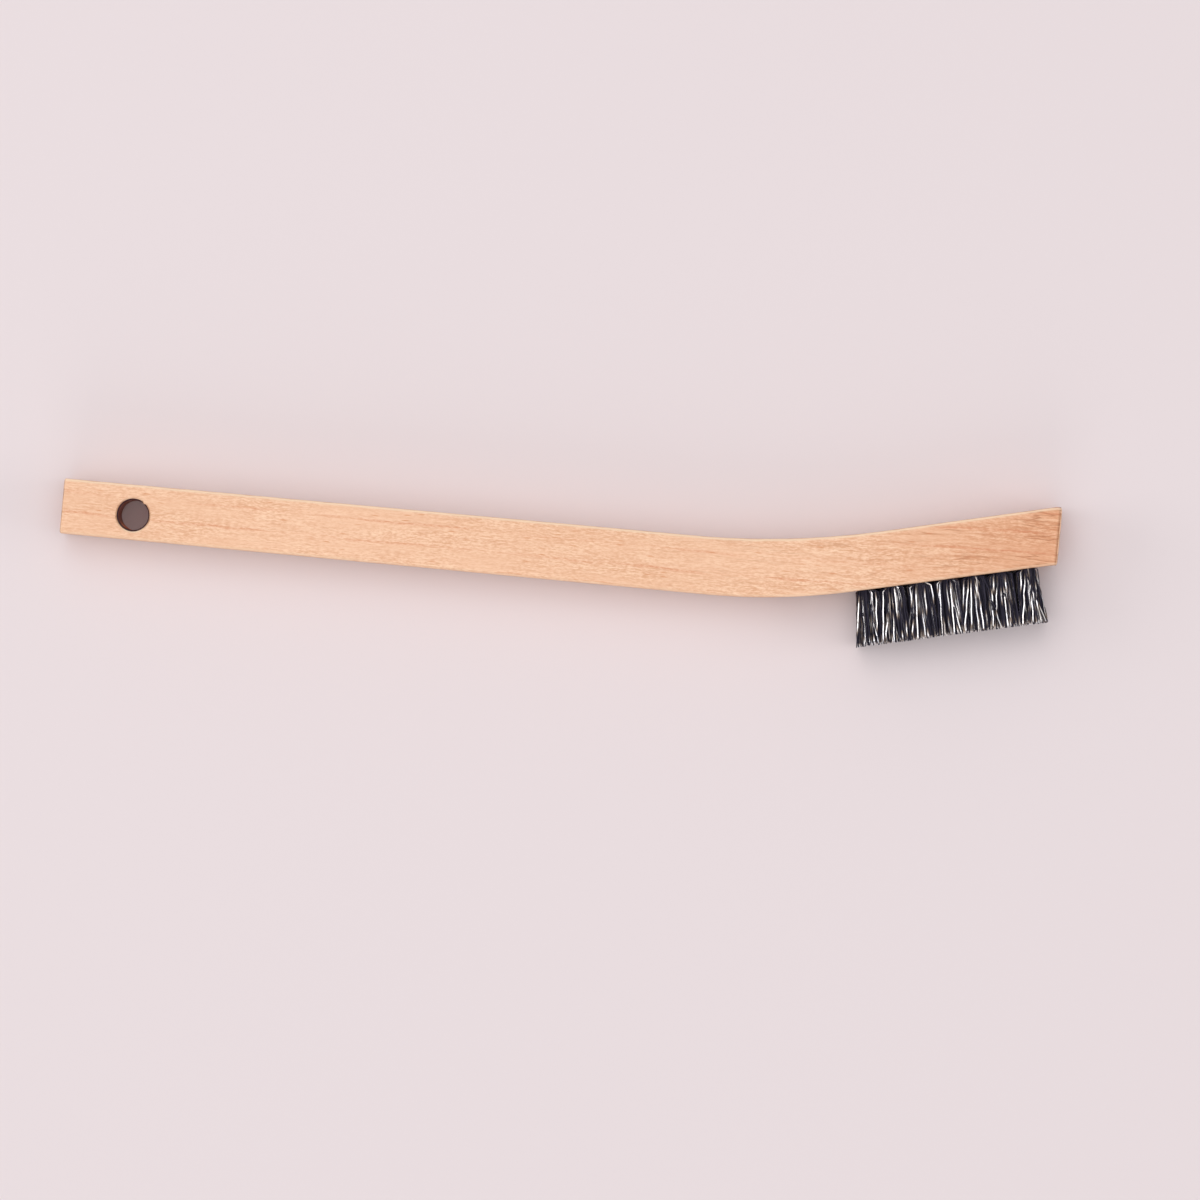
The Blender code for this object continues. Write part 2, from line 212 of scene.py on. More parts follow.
def sum_of(tree, first, second):
    return worked_out(tree, 'ADD', first, second)


def product_of(tree, first, second):
    return worked_out(tree, 'MULTIPLY', first, second)


def fade(tree, amount, start, end, low=0.0, high=1.0, **settings):
    """A number that runs from low to high while the amount runs from start to end."""
    return shader(tree, "MapRange", {
        "Value": amount, "From Min": start, "From Max": end, "To Min": low, "To Max": high},
        **settings).outputs[0]


def ramp(tree, amount, stops):
    """A colour ramp through these places and colours, where a number means a grey."""
    made = shader(tree, "ValToRGB", {"Fac": amount})
    for place, _ in stops[2:]:
        made.color_ramp.elements.new(place)
    for stop, (place, colour) in zip(made.color_ramp.elements, stops):
        stop.position = place
        stop.color = (*colour, 1) if isinstance(colour, tuple) else (colour,) * 3 + (1,)
    return made.outputs["Color"]


def blended(tree, amount, first, second, kind='MIX'):
    """The second colour laid over the first, as strongly as the amount says."""
    first, second = [
        value if isinstance(value, bpy.types.NodeSocket) else (*value, 1)
        for value in (first, second)]
    return shader(
        tree, "Mix", {0: amount, 6: first, 7: second},
        data_type='RGBA', blend_type=kind).outputs[2]


def tinted(tree, amount, colour, tint):
    """A colour multiplied by a tint, as strongly as the amount says."""
    return blended(tree, amount, colour, tint, 'MULTIPLY')


def counted_in_grains(tree, place, per_metre):
    """A place in grains of a pattern, with this many to a metre along each axis."""
    return shader(tree, "Mapping", {"Vector": place, "Scale": per_metre}).outputs[0]


def mottle(tree, place, per_metre, detail, roughness=0.5):
    """An uneven pattern with this many of its grains to a metre along each axis."""
    grains = counted_in_grains(tree, place, per_metre)
    return shader(tree, "TexNoise", {
        "Vector": grains, "Scale": 1, "Detail": detail, "Roughness": roughness}).outputs[0]


def cells(tree, place, per_metre):
    """A pattern of cells: how far each place is from a cell's middle, and its colour."""
    grains = counted_in_grains(tree, place, per_metre)
    return shader(tree, "TexVoronoi", {"Vector": grains, "Scale": 1}).outputs


def along_the_grain(tree, place, axes):
    """The place in the wood: its grain wavers, and turns a little way with the head."""
    turn = fade(tree, axes["X"], 0.03, 0.1, 0.0, GRAIN_TURN, interpolation_type='SMOOTHSTEP')
    wander = product_of(tree, mottle(tree, place, (110, 260, 260), 1), GRAIN_WANDER)
    height = sum_of(tree, worked_out(tree, 'SUBTRACT', axes["Y"], turn), wander)
    return shader(tree, "CombineXYZ", {"X": axes["X"], "Y": height, "Z": axes["Z"]}).outputs[0]


def long_grain(tree, place, axes, fibre, fleck):
    """The planed sides: broad bands, fibres that grow livelier to the head, and veins."""
    figure = fade(tree, axes["X"], 0.015, 0.095, 0.75, 1.5)
    lively = fade(tree, mottle(tree, place, (60, 260, 260), 1), 0.35, 0.65, 0.5, 1.4)
    strong = product_of(tree, figure, lively)
    bands = mottle(tree, place, (14, 160, 160), 2)
    colour = ramp(tree, bands, [(0.3, WARM_BEECH), (0.7, PALE_BEECH)])
    for grain, amount in (
            (fibre, product_of(tree, strong, 0.5)), (fleck, product_of(tree, lively, 0.46))):
        dark = product_of(tree, ramp(tree, grain, [(0.34, 1.0), (0.52, 0.0)]), amount)
        colour = blended(tree, dark, colour, DARK_FIBRE)
        pale = product_of(tree, ramp(tree, grain, [(0.5, 0.0), (0.68, 1.0)]), amount)
        colour = blended(tree, pale, colour, PALE_FIBRE)
    hair = ramp(tree, mottle(tree, place, (150, 3900, 3900), 2), [(0.30, 1.0), (0.44, 0.0)])
    colour = blended(tree, product_of(tree, hair, 0.22), colour, HAIRLINE)
    vein = ramp(
        tree, mottle(tree, place, (75, 1200, 1200), 2),
        [(0.46, 0.0), (0.495, 1.0), (0.505, 1.0), (0.54, 0.0)])
    seen = ramp(tree, mottle(tree, place, (70, 500, 500), 1), [(0.46, 0.0), (0.6, 1.0)])
    vein = product_of(
        tree, product_of(tree, vein, seen), worked_out(tree, 'SUBTRACT', figure, 0.65))
    return blended(tree, vein, colour, VEIN)


def growth_rings(tree, place, axes):
    """How far from the tree's middle the wood grew, and at what part of its year."""
    height = shader(tree, "SeparateXYZ", {0: place}).outputs["Y"]
    outwards = shader(tree, "CombineXYZ", {
        "Y": sum_of(tree, height, -TREE_MIDDLE[0]),
        "Z": sum_of(tree, axes["Z"], -TREE_MIDDLE[1])}).outputs[0]
    rise = shader(tree, "VectorMath", {0: outwards}, operation='LENGTH').outputs["Value"]
    drift = product_of(tree, mottle(tree, place, (9, 70, 70), 3), 0.3)
    ragged = product_of(tree, mottle(tree, place, (240, 900, 900), 2), 0.13)
    years = sum_of(tree, worked_out(tree, 'DIVIDE', rise, RING_WIDTH), drift)
    moved = sum_of(tree, years, sum_of(tree, ragged, RING_START))
    return rise, worked_out(tree, 'FRACT', moved)


def growth_lines(tree, place, fleck, year, colour):
    """A thin darker line where each year's growth ends, broken and faint in places."""
    line = ramp(tree, year, [(0, 0.7), (0.035, 0.0), (0.87, 0.0), (0.96, 1.0)])
    seen = ramp(tree, mottle(tree, place, (45, 330, 330), 2), [(0.42, 0.1), (0.60, 1.0)])
    unbroken = ramp(tree, fleck, [(0.36, 1.0), (0.6, 0.3)])
    line = product_of(tree, product_of(tree, line, seen), unbroken)
    return blended(tree, line, colour, GROWTH_LINE)


def spots(tree, place):
    """The short brown flecks of beech: a few cells of a drawn-out pattern."""
    pattern = cells(tree, place, (330, 2300, 2300))
    chosen = shader(tree, "SeparateColor", {0: pattern["Color"]}).outputs[0]
    return product_of(
        tree, ramp(tree, pattern["Distance"], [(0.12, 1.0), (0.34, 0.0)]),
        ramp(tree, chosen, [(0.86, 0.0), (0.92, 1.0)]))


def shade_rim_and_highlights(tree, axes, facing, colour):
    """Painted shade that darkens the head towards its end, a darker rim round that end, and
    painted highlights on the eased edges.
    """
    # Painted shade: the head is made darker and oranger towards its end, where the light falls
    # off.
    head_shade = fade(tree, axes["X"], 0.055, 0.1)
    colour = tinted(tree, head_shade, colour, HEAD_SHADE_TINT)
    # A darker rim round the head's end, on its sides and edges but not on the sawn end.
    end_rim = fade(
        tree, axes["X"], stick_high.x - END_RIM_REACH, stick_high.x - END_RIM_REACH / 2)
    colour = tinted(tree, end_rim, colour, END_RIM_TINT)
    # Painted highlight: the eased edges are paler, most of all on the back, which faces the
    # light.
    sideways = worked_out(tree, 'POWER', facing["Z"], 2)
    eased = product_of(tree, sideways, worked_out(tree, 'SUBTRACT', 1, sideways))
    back_highlight_strength = fade(tree, facing["Y"], -0.5, 0.5, 1.4, 3.6)
    colour = blended(tree, product_of(tree, eased, back_highlight_strength), colour, PAINTED_EDGE_HIGHLIGHT)
    at_end = ramp(
        tree, worked_out(tree, 'ABSOLUTE', facing["X"]), [(0.3, 0.0), (0.75, 1.0)])
    colour = tinted(tree, product_of(tree, end_rim, at_end), colour, END_FACE_UNTINT)
    return colour, at_end


def end_grain(tree, colour, place, rise, year):
    """The sawn ends: darker growth rings, pale rays across them, and open pores."""
    axes = shader(tree, "SeparateXYZ", {0: place}).outputs
    slant = product_of(tree, axes["Y"], RAY_SLANT)
    aside = worked_out(tree, 'SUBTRACT', axes["Z"], slant)
    outwards = shader(tree, "CombineXYZ", {"X": rise, "Y": aside}).outputs[0]
    sawn = tinted(tree, 1.0, colour, SAWN_TINT)
    late = ramp(tree, year, [(0, 0.3), (0.12, 0.0), (0.5, 0.1), (0.93, 0.75)])
    sawn = blended(tree, late, sawn, LATE_WOOD)
    rays = ramp(tree, mottle(tree, outwards, (450, 3000, 1), 2), [(0.52, 0.0), (0.66, 0.6)])
    sawn = blended(tree, rays, sawn, RAY)
    pattern = cells(tree, place, (500, 4200, 4200))
    pores = ramp(tree, pattern["Distance"], [(0.1, 1.0), (0.34, 0.0)])
    return blended(tree, product_of(tree, pores, 0.55), sawn, OPEN_PORE), pores


def beech_finish():
    """Planed beech with painted shade at the head, a darker rim round its end and painted
    highlights along its edges, sawn across at both ends.
    """
    material, tree, surface = new_finish("beech")
    coordinates = shader(tree, "TexCoord").outputs
    axes = shader(tree, "SeparateXYZ", {0: coordinates["Object"]}).outputs
    facing = shader(tree, "SeparateXYZ", {0: coordinates["Normal"]}).outputs
    place = along_the_grain(tree, coordinates["Object"], axes)
    fibre = mottle(tree, place, (290, 2400, 2400), 3, 0.6)
    fleck = mottle(tree, place, (1000, 3700, 3700), 2, 0.6)
    rise, year = growth_rings(tree, place, axes)
    spot = spots(tree, place)

    colour = long_grain(tree, place, axes, fibre, fleck)
    colour = growth_lines(tree, place, fleck, year, colour)
    colour = blended(tree, product_of(tree, spot, 0.8), colour, SPOT)
    colour, at_end = shade_rim_and_highlights(tree, axes, facing, colour)
    sawn, pores = end_grain(tree, colour, place, rise, year)

    raised = worked_out(
        tree, 'SUBTRACT', sum_of(tree, fibre, fleck), product_of(tree, spot, 0.6))
    raised = worked_out(tree, 'SUBTRACT', raised, product_of(tree, pores, at_end))
    relief = shader(tree, "Bump", {"Height": raised, "Strength": 0.35, "Distance": 0.00006})
    set_inputs(tree, surface, {
        "Base Color": blended(tree, at_end, colour, sawn),
        "Roughness": fade(tree, fibre, 0, 1, 0.52, 0.7),
        "Specular IOR Level": 0.35, "Normal": relief.outputs[0]})
    return material


def drilled_finish(name, wood, shade_colour, centre):
    """The wall of a drilled hole: ringed by the drill, with painted shade on one side and round
    its upper lip.
    """
    material, tree, surface = new_finish(name)
    place = shader(tree, "TexCoord").outputs["Object"]
    axes = shader(tree, "SeparateXYZ", {0: place}).outputs
    rings = mottle(tree, place, (500, 500, 5000), 2)
    clean, shaded = [
        ramp(tree, rings, [(0.35, tuple(0.7 * part for part in colour)), (0.7, colour)])
        for colour in (wood, shade_colour)]
    # Painted shade: the wall is darker on its side towards the tail, which the camera looks at,
    # and round the upper lip.
    slant = product_of(tree, axes["Y"], SHADE_SLANT)
    across_hole = worked_out(tree, 'SUBTRACT', axes["X"], slant)
    middle = centre.x - SHADE_SLANT * centre.y
    one_side = fade(
        tree, across_hole, middle - FULL_SHADE_REACH, middle - NO_SHADE_REACH,
        SIDE_SHADE_STRENGTH, 0.0)
    lip = fade(
        tree, axes["Z"], stick_high.z - LIP_SHADE_START, stick_high.z - LIP_SHADE_FULL)
    painted_light = worked_out(tree, 'MAXIMUM', one_side, lip)
    relief = shader(tree, "Bump", {"Height": rings, "Strength": 0.5, "Distance": 0.00008})
    set_inputs(tree, surface, {
        "Base Color": blended(tree, painted_light, clean, shaded), "Roughness": 0.6,
        "Normal": relief.outputs[0]})
    return material


def bent_side(before, corner, after, radius):
    """How high a side of the stick runs at x: two straight runs blended by an arc."""
    to_before = (before - corner).normalized()
    to_after = (after - corner).normalized()
    half = to_before.angle(to_after) / 2
    centre = corner + (to_before + to_after).normalized() * radius / math.sin(half)
    start = corner + to_before * radius / math.tan(half)
    end = corner + to_after * radius / math.tan(half)

    def height(x):
        if x < start.x:
            return before.y + (x - before.x) * to_before.y / to_before.x
        if x > end.x:
            return corner.y + (x - corner.x) * to_after.y / to_after.x
        return centre.y - math.sqrt(radius ** 2 - (x - centre.x) ** 2)

    return height


def stick_sides():
    """The belly's and the back's height at x, from the tail end's lower corner."""
    along = Vector((math.cos(HEAD_ANGLE), math.sin(HEAD_ANGLE)))
    up = Vector((-math.sin(HEAD_ANGLE), math.cos(HEAD_ANGLE)))
    tail = Vector((0, 0))
    bend = Vector((GRIP_LENGTH, 0))
    tip = bend + along * HEAD_LENGTH
    grip_back = (Vector((0, TAIL_HEIGHT)), Vector((GRIP_LENGTH, NECK_HEIGHT)))
    head_back = (bend + up * HEAD_HEIGHT, tip + up * HEAD_END_HEIGHT)
    points = [point.to_3d() for point in (*grip_back, *head_back)]
    back_bend = intersect_line_line(*points)[0].to_2d()
    belly = bent_side(tail, bend, tip, BELLY_BEND_RADIUS)
    back = bent_side(grip_back[0], back_bend, head_back[1], BACK_BEND_RADIUS)
    return belly, back


def wear_down(shape, rounded, length, back):
    """Tumble the blank: its rounded edges wear unevenly, and its faces stay almost flat."""
    shape.normal_update()
    back_corner = Vector((length, back(length)))
    for corner in shape.verts:
        wave = noise.noise(corner.co * FACE_WAVES) * FACE_WAVE
        if corner in rounded:
            wave -= EDGE_WEAR * max(0, noise.fractal(corner.co * WEAR_PATCHES, 0.6, 2, 3))
            dent = 1 - (corner.co.xy - back_corner).length / KNOCKED_CORNER
            wave -= KNOCKED_DEPTH * max(0, dent)
        corner.co += corner.normal * min(0, wave)
        for end in (0, length):
            if abs(corner.co.x - end) < END_DEPTH:
                corner.co.x = end + (corner.co.x - end) * END_SHARPNESS


def stick_blank(low, high):
    """The bent stick with eased and slightly worn edges, before it is drilled."""
    shape = bmesh.new()
    size = Vector((high.x - low.x, 1, high.z - low.z))
    bmesh.ops.create_cube(
        shape, size=1, matrix=Matrix.Translation(size / 2) @ Matrix.Diagonal((*size, 1)))
    for axis, parts in enumerate((LENGTHWISE_PARTS, CROSSWISE_PARTS, CROSSWISE_PARTS)):
        along_axis = [
            edge for edge in shape.edges
            if abs((edge.verts[0].co - edge.verts[1].co).normalized()[axis]) > 0.9]
        bmesh.ops.subdivide_edges(shape, edges=along_axis, cuts=parts - 1, use_grid_fill=True)
    belly, back = stick_sides()
    for corner in shape.verts:
        bottom, top = belly(corner.co.x), back(corner.co.x)
        corner.co.y = bottom + corner.co.y * (top - bottom)
    sawn = [edge for edge in shape.edges if edge.calc_face_angle(0) > SAWN_EDGE]
    rounded = bmesh.ops.bevel(
        shape, geom=sawn, offset=EDGE_ROUND, offset_type='OFFSET', segments=EDGE_STEPS,
        profile=0.5, affect='EDGES', material=-1, clamp_overlap=True)
    wear_down(shape, set(rounded["verts"]), size.x, back)
    bmesh.ops.translate(shape, verts=shape.verts, vec=low)
    return shape


def hang_hole_cutter(width):
    """The hang hole's shape: a lip and a chamfer at both sides, and one missed sliver.

    The chamfers take the second material.
    """
    lip = HANG_HOLE_RADIUS + HANG_HOLE_LIP
    rim = lip + HANG_HOLE_CHAMFER
    profile = [
        (rim, -CUT_OVERRUN), (rim, 0), (lip, HANG_HOLE_CHAMFER),
        (HANG_HOLE_RADIUS, HANG_HOLE_LIP_DEPTH), (HANG_HOLE_RADIUS, width / 2),
        (HANG_HOLE_RADIUS, width - HANG_HOLE_LIP_DEPTH),
        (lip, width - HANG_HOLE_CHAMFER), (rim, width), (rim, width + CUT_OVERRUN)]
    shape = bmesh.new()
    corners = [shape.verts.new((radius, 0, height)) for radius, height in profile]
    line = [shape.edges.new(pair) for pair in zip(corners, corners[1:])]
    bmesh.ops.spin(
        shape, geom=corners + line, axis=(0, 0, 1), cent=(0, 0, 0), angle=2 * math.pi,
        steps=HANG_HOLE_STEPS, use_merge=True)
    bmesh.ops.holes_fill(shape, edges=shape.edges)
    for corner in shape.verts:
        turn = math.atan2(corner.co.y, corner.co.x) - SLIVER_DIRECTION
        if abs(turn) < SLIVER_WIDTH / 2 and corner.co.z > width - SLIVER_DEPTH:
            corner.co.xy *= 1 - SLIVER_REACH * math.cos(turn * math.pi / SLIVER_WIDTH)
    bmesh.ops.recalc_face_normals(shape, faces=shape.faces)
    for face in shape.faces:
        face.material_index = int(0.5 < abs(face.normal.z) < 0.9)
    return shape


def tuft_hole_cutter():
    """A tuft hole's shape, from the belly at Z = 0 up to its drill point in the wood."""
    depth = TUFT_HOLE_DEPTH + CUT_OVERRUN
    shape = bmesh.new()
    bmesh.ops.create_cone(
        shape, cap_ends=True, segments=TUFT_HOLE_STEPS,
        radius1=TUFT_HOLE_RADIUS, radius2=TUFT_HOLE_RADIUS,
        depth=depth, matrix=Matrix.Translation((0, 0, -CUT_OVERRUN + depth / 2)))
    shape.normal_update()
    bottom = [face for face in shape.faces if face.normal.z > 0.9]
    bmesh.ops.poke(shape, faces=bottom, offset=DRILL_POINT_DEPTH)
    return shape


def pilot_cutter():
    """What the two legs of a staple press out of the wood."""
    depth = PILOT_DEPTH - TUFT_HOLE_DEPTH + CUT_OVERRUN
    shape = bmesh.new()
    for side in (-1, 1):
        centre = (0, side * PILOT_OFFSET, PILOT_DEPTH - depth / 2)
        bmesh.ops.create_cone(
            shape, cap_ends=True, segments=PILOT_STEPS,
            radius1=PILOT_RADIUS, radius2=PILOT_RADIUS,
            depth=depth, matrix=Matrix.Translation(centre))
    return shape


def tuft_mouth(along, across):
    """The middle of a tuft hole at the belly: its staple stands on the hole's axis."""
    low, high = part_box(f"staple_{along}_{across}")
    middle = head_face.inverted() @ ((low + high) / 2)
    return Vector((middle.x, middle.y, 0))


beech = beech_finish()
hang_hole_wall = drilled_finish("hang hole wall", HOLE_WOOD, HOLE_PAINTED_SHADE, hang_centre)
drilled_beech = drilled_finish(
    "drilled beech", TUFT_HOLE_WOOD, TUFT_HOLE_PAINTED_SHADE, head_corner)
cutters = bpy.data.collections.new("stick cutters")
bpy.context.scene.collection.children.link(cutters)
cuts = [(hang_hole_cutter(stick_width), Matrix.Translation(hang_centre), hang_hole_wall)]
for along in range(1, ROWS_ALONG + 1):
    for across in range(1, ROWS_ACROSS + 1):
        into_wood = (
            head_face @ Matrix.Translation(tuft_mouth(along, across))
            @ Matrix.Rotation(math.pi, 4, 'X'))
        cuts.append((tuft_hole_cutter(), into_wood, drilled_beech))
        cuts.append((pilot_cutter(), into_wood, drilled_beech))
for shape, place, wall in cuts:
    shape.transform(place)
    cutter = new_piece("cutter", shape, wall)
    cutter.data.materials.append(beech)
    bpy.context.scene.collection.objects.unlink(cutter)
    cutters.objects.link(cutter)

blank = new_piece("stick_blank", stick_blank(stick_low, stick_high), beech)
blank.data.materials.append(drilled_beech)
blank.data.materials.append(hang_hole_wall)
drilling = blank.modifiers.new("drilling", 'BOOLEAN')
drilling.operation = 'DIFFERENCE'
drilling.solver = 'EXACT'
drilling.operand_type = 'COLLECTION'
drilling.collection = cutters
drilling.material_mode = 'TRANSFER'
drilled = bpy.data.meshes.new_from_object(
    blank.evaluated_get(bpy.context.evaluated_depsgraph_get()))
drilled.name = "stick"
stick = bpy.data.objects.new("stick", drilled)
bpy.context.scene.collection.objects.link(stick)
for spare in [blank, *cutters.objects]:
    bpy.data.objects.remove(spare, do_unlink=True)
bpy.data.collections.remove(cutters)
drilled.shade_smooth()
drilled.set_sharp_from_angle(angle=CREASE)
flat_faces = stick.modifiers.new("flat faces", 'WEIGHTED_NORMAL')
flat_faces.keep_sharp = True
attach(stick, "root")
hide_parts("handle")


# Tufts -----------------------------------------------------------------------------
# Each tuft is a bunch of crimped, tempered steel wires, cut to length, bent double over
# its staple and punched into its hole, so that every wire has two free ends. The brush is
# then trimmed level. Most wires are dark with scale. Their glints are painted on, as bright
# steel colour along some stretches of some wires.
DARK_SCALE = (0.027, 0.023, 0.043)
BLUE_SCALE = (0.042, 0.036, 0.058)
# colours of the painted glints: a dim one, and full steel that runs from cool to warm
DIM_GLINT_COLOUR = (0.40, 0.31, 0.25)
COOL_GLINT_COLOUR = (0.93, 0.91, 0.95)
WARM_GLINT_COLOUR = (0.98, 0.93, 0.90)
WIRE_RADIUS = 0.000125
WIRE_SIDES = 3
WIRE_CREASE = math.radians(100)  # the wire's three edges are crisp and its bends are not
LEG_PARTS = 6
CRIMP = 0.0001
TRIM_LENGTH = 0.0111
TRIM_UNEVENNESS = 0.0005

COLUMNS = 7                      # wires side by side across the bunch
LAYERS = 6                       # wires one inside another where they turn back
FOLD_DEPTH = 0.00465
FOLD_LAYER = 0.00017             # how much shallower each layer turns back
FOLD_COLUMN = 0.00024
FOLD_OPENING = 0.0001            # how much wider each layer's fold is
CROWN_CLEARANCE = 0.0004

FIELD_START = 0.01577            # the first holes' edge, from the corner of the bend
FIELD_LENGTH = 0.03542
FLARE_TO_TAIL = 0.0012
FLARE_TO_END = 0.0011
SIDE_INSET = 0.0003
BUNCH_RADIUS = 0.00141
MOUTH_REACH = 0.0009
REAR_SPREAD = 1.5                # how far the rows behind the front one mingle
TIP_ROUNDING = 0.35              # how round a tuft's patch of tips is
TIP_STRAY = 0.12

# How much of its spread each layer of a tuft, from the innermost, has at the wood.
STIFF_BUNCH = (0.05, 0.07, 0.1, 0.13, 0.16, 0.2)
EASED_BUNCH = (0.1, 0.26, 0.42, 0.6, 0.8, 0.95)
OPEN_BUNCH = (0.3, 0.42, 0.54, 0.66, 0.78, 0.9)

OUTER_SHINE = 0.52               # the share of legs with a painted glint somewhere, in outer tufts
INNER_SHINE = 0.1
# painted glints at the cut tips: the share of wires that get one, and its length
TIP_SHINE = 0.48
GLINT_TIP_LENGTH = 0.0005
NEAR_COLUMNS = 3                 # where chance wires shine only beside a listed one
BESIDE_A_LISTED_WIRE = 0.0007
CLEARED_SHARE = 0.15             # the share of those that are dark after all
FRONT_COLUMNS = 2                # where the listed wires are laid
FRONT_PREFERENCE = 0.0004        # how much further aside a nearer column's wire may be

# Wires that carry painted glints in the row of tufts nearest to the camera: where each leaves
# the wood and where its tip is, in mm along the head from the first hole's edge, and from
# how far to how far from the wood its painted glint runs, in mm.
SHINING = (
    (0.27, -1.78, 1.0, 7.5), (0.67, 0.24, 1.0, 11.1), (1.44, 0.89, 0.8, 1.4),
    (1.53, 2.7, 6.5, 10.5), (1.59, 1.03, 8.9, 11.1), (2.3, 2.6, 0.8, 4.8),
    (2.44, 1.89, 9.3, 11.1), (3.75, 2.46, 2.4, 7.5), (4.77, 3.61, 0.2, 9.1),
    (5.26, 6.96, 8.3, 10.9), (5.69, 5.5, 2.0, 7.5), (5.98, 4.14, 5.1, 9.3),
    (6.86, 5.77, 6.1, 10.9), (7.27, 6.97, 0.8, 5.5), (8.15, 7.6, 9.1, 10.3),
    (9.11, 8.56, 8.5, 9.5), (9.7, 9.7, 0.4, 3.0), (10.9, 9.63, 2.8, 7.1),
    (10.93, 8.62, 0.6, 7.5), (11.45, 10.47, 1.6, 11.1), (11.54, 9.28, 7.9, 10.3),
    (12.17, 12.02, 6.3, 11.1), (13.18, 12.75, 1.0, 6.7), (15.47, 14.92, 0.2, 1.2),
    (16.17, 15.41, 0.6, 11.1), (17.39, 16.83, 7.5, 9.1), (17.54, 17.31, 1.0, 5.9),
    (17.69, 19.26, 4.9, 11.3), (17.7, 17.15, 9.9, 11.3), (18.37, 17.83, 0.8, 11.3),
    (20.6, 19.43, 0.8, 5.3), (20.65, 20.1, 9.5, 11.1), (22.07, 19.73, 0.8, 9.5),
    (22.49, 21.2, 1.8, 10.3), (22.97, 22.64, 2.8, 10.9), (23.81, 23.66, 5.5, 10.7),
    (25.09, 24.39, 7.1, 10.3), (25.24, 27.3, 8.3, 11.1), (26.13, 25.58, 3.2, 10.5),
    (27.07, 25.06, 0.8, 3.0), (27.82, 25.97, 1.0, 8.1), (28.2, 27.65, 3.0, 4.8),
    (28.76, 28.49, 4.4, 11.1), (29.24, 29.05, 0.8, 4.4), (31.48, 30.92, 9.3, 10.7),
    (32.44, 31.06, 0.4, 3.6), (33.06, 36.1, 8.7, 10.9), (33.31, 31.41, 0.8, 10.9),
    (34.45, 33.52, 5.9, 11.1), (34.51, 32.6, 1.6, 8.5), (35.22, 34.59, 4.0, 11.5),
    (35.29, 36.45, 0.8, 10.3), (35.9, 35.35, 9.5, 11.3))
MM_TO_A_METRE = 1000


def wire_finish():
    """Tempered steel wire: dark blue scale, with glints painted on as bright steel along marked
    stretches.
    """
    material, tree, surface = new_finish("tempered wire")
    place = shader(tree, "TexCoord").outputs["Object"]
    marked = shader(tree, "Attribute", attribute_name="painted_light").outputs["Fac"]
    # Painted glints: the marked stretches, broken into patches, take bright steel colour, low
    # roughness and full metal.
    patches = ramp(tree, mottle(tree, place, (900, 900, 900), 2), [(0.34, 0.7), (0.46, 1.0)])
    painted_light = product_of(tree, marked, patches)
    heat = mottle(tree, place, (260, 260, 260), 2)
    scale = ramp(tree, heat, [(0.35, DARK_SCALE), (0.65, BLUE_SCALE)])
    steel = ramp(tree, heat, [(0.35, COOL_GLINT_COLOUR), (0.65, WARM_GLINT_COLOUR)])
    dim_glint = ramp(tree, painted_light, [(0.05, 0.0), (0.4, 1.0)])
    full_glint = ramp(tree, painted_light, [(0.35, 0.0), (0.8, 1.0)])
    colour = blended(tree, dim_glint, scale, DIM_GLINT_COLOUR)
    set_inputs(tree, surface, {
        "Base Color": blended(tree, full_glint, colour, steel),
        "Roughness": fade(tree, painted_light, 0, 1, 0.72, 0.26),
        "Metallic": fade(tree, painted_light, 0, 0.4, 0.5, 1.0)})
    return material


def wire_blank():
    """A straight cut length of wire, parted where it will be bent."""
    parts = 2 * (LEG_PARTS + 2) + 1
    shape = bmesh.new()
    bmesh.ops.create_cone(
        shape, cap_ends=True, segments=WIRE_SIDES, radius1=WIRE_RADIUS, radius2=WIRE_RADIUS,
        depth=1, matrix=Matrix.Translation((0, 0, 0.5)))
    lengthwise = [
        edge for edge in shape.edges
        if abs(edge.verts[0].co.z - edge.verts[1].co.z) > 0.5]
    bmesh.ops.subdivide_edges(shape, edges=lengthwise, cuts=parts - 1)
    mesh = bpy.data.meshes.new("wire blank")
    shape.to_mesh(mesh)
    shape.free()
    return mesh, parts


def add_wire(tuft, blank, parts, path, painted_light, layer):
    """Bend a straight wire onto a path of points in the frame of the head."""
    first = len(tuft.verts)
    tuft.from_mesh(blank)
    tuft.verts.ensure_lookup_table()
    across = Vector((0, 1, 0))
    for corner in tuft.verts[first:]:
        index = round(corner.co.z * parts)
        ahead = path[min(index + 1, parts)] - path[max(index - 1, 0)]
        side = (across - across.project(ahead)).normalized()
        up = ahead.normalized().cross(side)
        # how much painted glint this ring of the wire carries
        corner[layer] = painted_light[index]
        corner.co = path[index] + side * corner.co.x + up * corner.co.y


def held_between(low, value, high):
    return max(low, min(high, value))


def in_a_circle(along, across):
    """A place in the unit square, moved into the unit circle."""
    return Vector((
        along * math.sqrt(1 - across ** 2 / 2), across * math.sqrt(1 - along ** 2 / 2)))


def leg_path(root, heading, tip, length, chance):
    """A free crimped leg, which bushes out of the hole onto the line to its tip."""
    turn = chance.uniform(0, math.pi)
    wave = Vector((math.cos(turn), math.sin(turn), 0)) * CRIMP * chance.uniform(0.6, 1.3)
    phase = chance.uniform(0.12, 0.45)
    points = [root.to_3d()]
    for index in range(LEG_PARTS):
        share = (index + phase) / (LEG_PARTS - 1 + phase)
        place = heading.lerp(tip, share).to_3d()
        place.z = share * length
        points.append(place + wave * ((1 if index % 2 else -1) if share < 1 else 0))
    # A point just short of the tip, so that a painted glint can cover the cut end.
    last, end = points[-2:]
    points.insert(-1, end.lerp(last, GLINT_TIP_LENGTH / (end - last).length))
    return points


